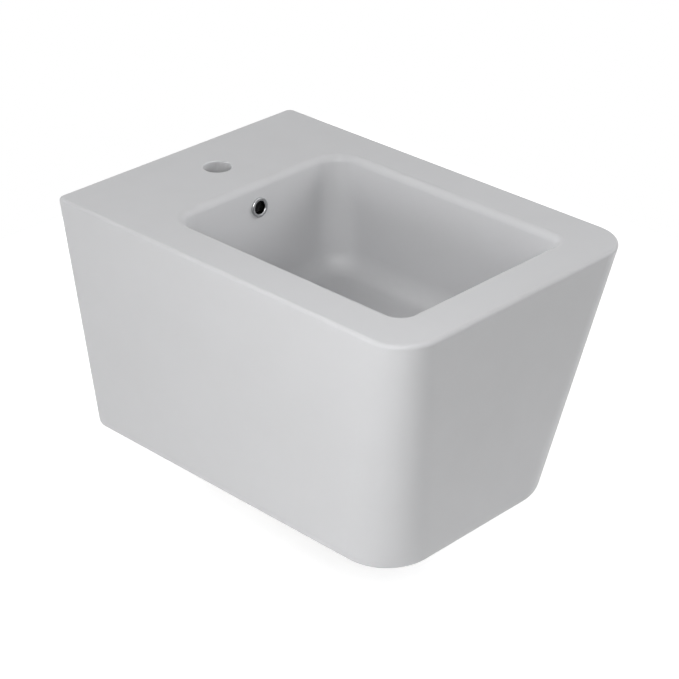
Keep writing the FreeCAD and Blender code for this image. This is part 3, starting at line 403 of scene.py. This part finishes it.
# Push works: a nylon housing screwed up into the waste, with its brass lock nut, holds an acetal
# plunger and the steel spring that lifts it.
wear(nylon, "click_housing")
wear(brass, "click_housing_nut")
grey_acetal, acetal_shader = new_finish("grey_acetal")
coords = places(grey_acetal)
fresh_acetal = (0.105, 0.11, 0.115, 1.0)
rubbed_acetal = (0.16, 0.165, 0.17, 1.0)
slide_lines = drawn_lines(grey_acetal, coords, squeeze=(6.0, 6.0, 0.2), scale=300.0)
rubbed = spread(grey_acetal, slide_lines, low=0.0, high=1.0, start=0.5, end=0.8)
make_up(
    grey_acetal,
    acetal_shader,
    blend_colours(grey_acetal, rubbed, fresh_acetal, rubbed_acetal),
    even_spread(grey_acetal, slide_lines, low=0.32, high=0.5),
    relief(grey_acetal, slide_lines, depth=0.00001),
)
wear(grey_acetal, "click_plunger")

spring_steel, spring_shader = new_finish("spring_steel")
coords = places(spring_steel)
wire_tone = (0.46, 0.46, 0.47, 1.0)
wire_lines = drawn_lines(spring_steel, coords, squeeze=(1.0, 1.0, 5.0), scale=700.0)
make_up(
    spring_steel,
    spring_shader,
    wire_tone,
    even_spread(spring_steel, wire_lines, low=0.2, high=0.4),
    relief(spring_steel, wire_lines, depth=0.00001),
    metal=1.0,
)
wear(spring_steel, "click_spring")

# Plug: a chromed brass cap over a rubber seal, on a brass stem with a lock nut. A push on the cap
# opens or shuts the waste.
wear(chrome, "plug_cap")
wear(black_rubber, "plug_seal")
wear(brass, "plug_stem")
wear(brass, "plug_stem_nut")

# Wall fixings: two M12 studs stand out of the wall, and the body hangs on nylon sleeves over them,
# drawn up by zinc-plated washers and nuts. The thread is rolled along the whole stud.
zinc, zinc_shader = new_finish("zinc_plate")
coords = places(zinc)
blue_zinc = (0.47, 0.49, 0.53, 1.0)
yellow_zinc = (0.53, 0.52, 0.48, 1.0)
passivation = spread(zinc, grain(zinc, coords, scale=60.0), low=0.0, high=1.0, start=0.35, end=0.65)
frost = grain(zinc, coords, scale=500.0, detail=3.0)
make_up(
    zinc,
    zinc_shader,
    blend_colours(zinc, passivation, blue_zinc, yellow_zinc),
    even_spread(zinc, frost, low=0.36, high=0.54),
    relief(zinc, frost, depth=0.00001),
    metal=1.0,
)
wear(zinc, "fixing_washers")
wear(zinc, "fixing_nuts")
wear(nylon, "fixing_sleeves")

stud_low, stud_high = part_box("fixing_studs")
stud_radius = 0.006
bar_points, bar_faces = threaded_bar(
    crest=stud_radius,
    depth=0.00095,
    pitch=0.00175,
    start=stud_low.y,
    end=stud_high.y,
    chamfer=0.0014,
)
points = []
faces = []
for stud_axis in (stud_low.x + stud_radius, stud_high.x - stud_radius):
    shift = len(points)
    points += [(stud_axis + x, z, -y) for x, y, z in bar_points]
    faces += [[corner + shift for corner in face] for face in bar_faces]
stud_threads = new_piece("stud_threads", points, faces, zinc, "bidet")
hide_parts("fixing_studs")

# Studio: a pale painted floor before a white backdrop, both seen white by the camera and in the chrome,
# and softboxes hung all round. The low ones are kept out of reflections, so that the glaze doesn't glare.


def seen_only(owner):
    """One for what the camera, the gloss and clear pieces see, and zero for the light on the object."""
    rays = add_node(owner, "ShaderNodeLightPath")
    seen = sum_up(owner, "MAXIMUM", rays.outputs["Is Camera Ray"], rays.outputs["Is Glossy Ray"])
    return sum_up(owner, "MAXIMUM", seen, rays.outputs["Is Transmission Ray"])


white = (1.0, 1.0, 1.0, 1.0)
pale_paint = (0.8, 0.8, 0.8, 1.0)
paint_roughness = 0.9
paint_glow = 0.6
floor_reach = 0.9
floor_level = -0.32
body_middle = -0.26
corners = ((-1, -1), (1, -1), (1, 1), (-1, 1))
floor_points = [(x * floor_reach, body_middle + y * floor_reach, floor_level) for x, y in corners]
floor_mesh = bpy.data.meshes.new("floor")
floor_mesh.from_pydata(floor_points, [], [(0, 1, 2, 3)])
floor = bpy.data.objects.new("floor", floor_mesh)
bpy.context.scene.collection.objects.link(floor)
floor_paint, floor_shader = new_finish("floor_paint")
floor_shader.inputs["Base Color"].default_value = pale_paint
floor_shader.inputs["Roughness"].default_value = paint_roughness
floor_shader.inputs["Emission Color"].default_value = white
glow = sum_up(floor_paint, "MULTIPLY", seen_only(floor_paint), paint_glow)
feed(floor_paint, floor_shader.inputs["Emission Strength"], glow)
floor_mesh.materials.append(floor_paint)

world = bpy.data.worlds.new("studio")
bpy.context.scene.world = world
world.use_nodes = True
backdrop = world.node_tree.nodes["Background"]
backdrop.inputs["Color"].default_value = white
feed(world, backdrop.inputs["Strength"], seen_only(world))

lowest_reflected = 35
over_body = (0.0, body_middle, -0.03)
over_front = (0.0, -0.45, 0.0)
far = 2.4
near = 1.2


def hang_softbox(name, around, above, size, watts, away=far, over=over_body):
    """A square softbox aimed at a point, at an angle round from the front and above the horizon."""
    a = math.radians(around)
    e = math.radians(above)
    way = Vector((math.sin(a) * math.cos(e), -math.cos(a) * math.cos(e), math.sin(e)))
    light = bpy.data.lights.new(name, "AREA")
    light.shape = "SQUARE"
    light.size = size
    light.energy = watts
    lamp = bpy.data.objects.new(name, light)
    lamp.location = Vector(over) + way * away
    lamp.rotation_euler = (-way).to_track_quat("-Z", "Y").to_euler()
    lamp.visible_camera = False
    lamp.visible_glossy = above > lowest_reflected
    bpy.context.scene.collection.objects.link(lamp)


hang_softbox("right_softbox", around=60, above=32, size=1.4, watts=20.1)
hang_softbox("right_low_softbox", around=60, above=20, size=1.4, watts=17.2)
hang_softbox("left_softbox", around=285, above=32, size=1.4, watts=3.6)
hang_softbox("left_low_softbox", around=270, above=8, size=0.6, watts=14.2)
hang_softbox("front_softbox", around=300, above=40, size=0.7, watts=7.3, away=near, over=over_front)
hang_softbox("front_low_softbox", around=285, above=20, size=0.7, watts=2.6, away=near, over=over_front)
hang_softbox("rear_softbox", around=210, above=32, size=1.4, watts=9.4)
hang_softbox("rear_low_softbox", around=180, above=8, size=0.6, watts=21.0)
hang_softbox("rear_top_softbox", around=180, above=58, size=1.4, watts=8.0)

# Camera: a long lens in front of the bidet and to its left, looking down into the basin.
# Its angles and its place come from the object's outline in the photograph.
turn = math.radians(-45.638)
tilt = math.radians(28.22)
right = Vector((math.cos(turn), math.sin(turn), 0.0))
back = Vector((math.sin(turn) * math.cos(tilt), -math.cos(turn) * math.cos(tilt), math.sin(tilt)))
up = back.cross(right)
body_centre = Vector((0.0, body_middle, -0.081))
to_left = 0.000763
to_top = 0.010551
stand_off = 2.430353
spot = body_centre - right * to_left + up * to_top + back * stand_off
lens = bpy.data.cameras.new("camera")
lens.sensor_width = 36.0
lens.lens = 116.17
lens.clip_end = 50.0
camera = bpy.data.objects.new("camera", lens)
camera.matrix_world = Matrix.Translation(spot) @ Matrix((right, up, back)).transposed().to_4x4()
bpy.context.scene.collection.objects.link(camera)
bpy.context.scene.camera = camera
bpy.context.scene.view_settings.view_transform = "Standard"
